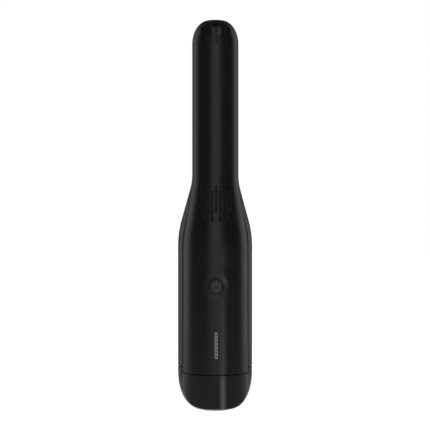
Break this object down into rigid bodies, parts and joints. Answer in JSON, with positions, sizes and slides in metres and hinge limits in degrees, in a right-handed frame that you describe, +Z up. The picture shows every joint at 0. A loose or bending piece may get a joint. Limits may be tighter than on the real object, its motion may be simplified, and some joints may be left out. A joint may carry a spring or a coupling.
{
  "type": "handheld vacuum",
  "caption": "Slim upright cordless handheld vacuum with a round handle, slotted shoulder, push button, charge gauge and glossy pull-off dust cup.",
  "frame": {"origin": "centre of the inlet's mouth, on the plane the vacuum stands on, under the middle of its outline", "axes": "+Z up along the handle, -Y out of the front with the button and gauge, +X to the right seen from the front"},
  "size_m": [0.069, 0.0684, 0.36],
  "materials": {
    "shell_black": "fine-textured matte black ABS",
    "cup_black": "polished near-opaque smoked black",
    "button_black": "satin black",
    "gauge_light": "light grey diffuser",
    "inner_black": "plain moulded dark grey",
    "seal_rubber": "soft matte",
    "steel": "plain steel",
    "filter_media": "folded filter paper",
    "foam": "open-cell foam",
    "fan_plastic": "white moulded nylon",
    "motor_steel": "drawn steel can",
    "copper": "enamelled copper",
    "magnet": "sintered, dark",
    "board_green": "solder-masked board",
    "cell_wrap": "shrink sleeve",
    "nickel": "nickel-plated strip",
    "lead_sleeve": "silicone sleeve",
    "led_white": "moulded light emitter"
  },
  "bodies": {
    "main_body": {"front_shell": "shell_black", "rear_shell": "shell_black", "duct_housing": "inner_black", "impeller_shroud": "inner_black", "motor_mount_ring": "seal_rubber", "diffuser": "fan_plastic", "motor_can": "motor_steel", "lower_bearing": "steel", "upper_bearing": "steel", "stator_windings": "copper", "exhaust_foam_front": "foam", "exhaust_foam_rear": "foam", "vent_screen": "inner_black", "button_spring": "steel", "charge_indicator": "gauge_light", "control_board": "board_green", "tact_switch": "inner_black", "indicator_leds": "led_white", "battery_cells": "cell_wrap", "battery_frame_lower": "inner_black", "battery_frame_upper": "inner_black", "nickel_strips": "nickel", "charging_socket": "steel", "charging_board": "board_green", "battery_leads": "lead_sleeve", "motor_leads": "lead_sleeve", "release_spring": "steel", "shell_screws": "steel"},
    "dust_cup": {"dust_cup": "cup_black", "inlet_tube": "inner_black", "flap_hinge_pin": "steel", "cup_seal": "seal_rubber"},
    "inlet_flap": {"inlet_flap": "seal_rubber"},
    "filter": {"filter_frame": "inner_black", "filter_pleats": "filter_media", "filter_cap": "inner_black", "filter_seal": "seal_rubber", "prefilter_mesh": "steel"},
    "rotor": {"motor_shaft": "steel", "rotor_magnet": "magnet", "impeller": "fan_plastic", "impeller_nut": "steel"},
    "power_button": {"power_button": "button_black"},
    "release_button": {"release_button": "button_black"}
  },
  "joints": [
    {"name": "cup_pull", "type": "slide", "parent": "main_body", "child": "dust_cup", "axis": [0, 0, -1], "range_m": [0, 0.1]},
    {"name": "filter_pull", "type": "slide", "parent": "main_body", "child": "filter", "axis": [0, 0, -1], "range_m": [0, 0.06]},
    {"name": "flap_hinge", "type": "hinge", "parent": "dust_cup", "child": "inlet_flap", "pos_m": [0, 0.0146, 0.0169], "axis": [-1, 0, 0], "range_deg": [0, 60]},
    {"name": "rotor_spin", "type": "hinge", "parent": "main_body", "child": "rotor", "pos_m": [0, 0.0015, 0.13], "axis": [0, 0, 1], "continuous": true},
    {"name": "power_press", "type": "slide", "parent": "main_body", "child": "power_button", "axis": [0, 1, 0], "range_m": [0, 0.0012], "stiffness_N_per_m": 600, "springref_m": -0.0005, "deforming": ["button_spring"]},
    {"name": "release_press", "type": "slide", "parent": "main_body", "child": "release_button", "axis": [0, -1, 0], "range_m": [0, 0.002], "stiffness_N_per_m": 700, "springref_m": -0.0006, "deforming": ["release_spring"]}
  ],
  "couplings": [
    {"joint": "filter_pull", "follows": "cup_pull", "ratio": 0.6}
  ]
}
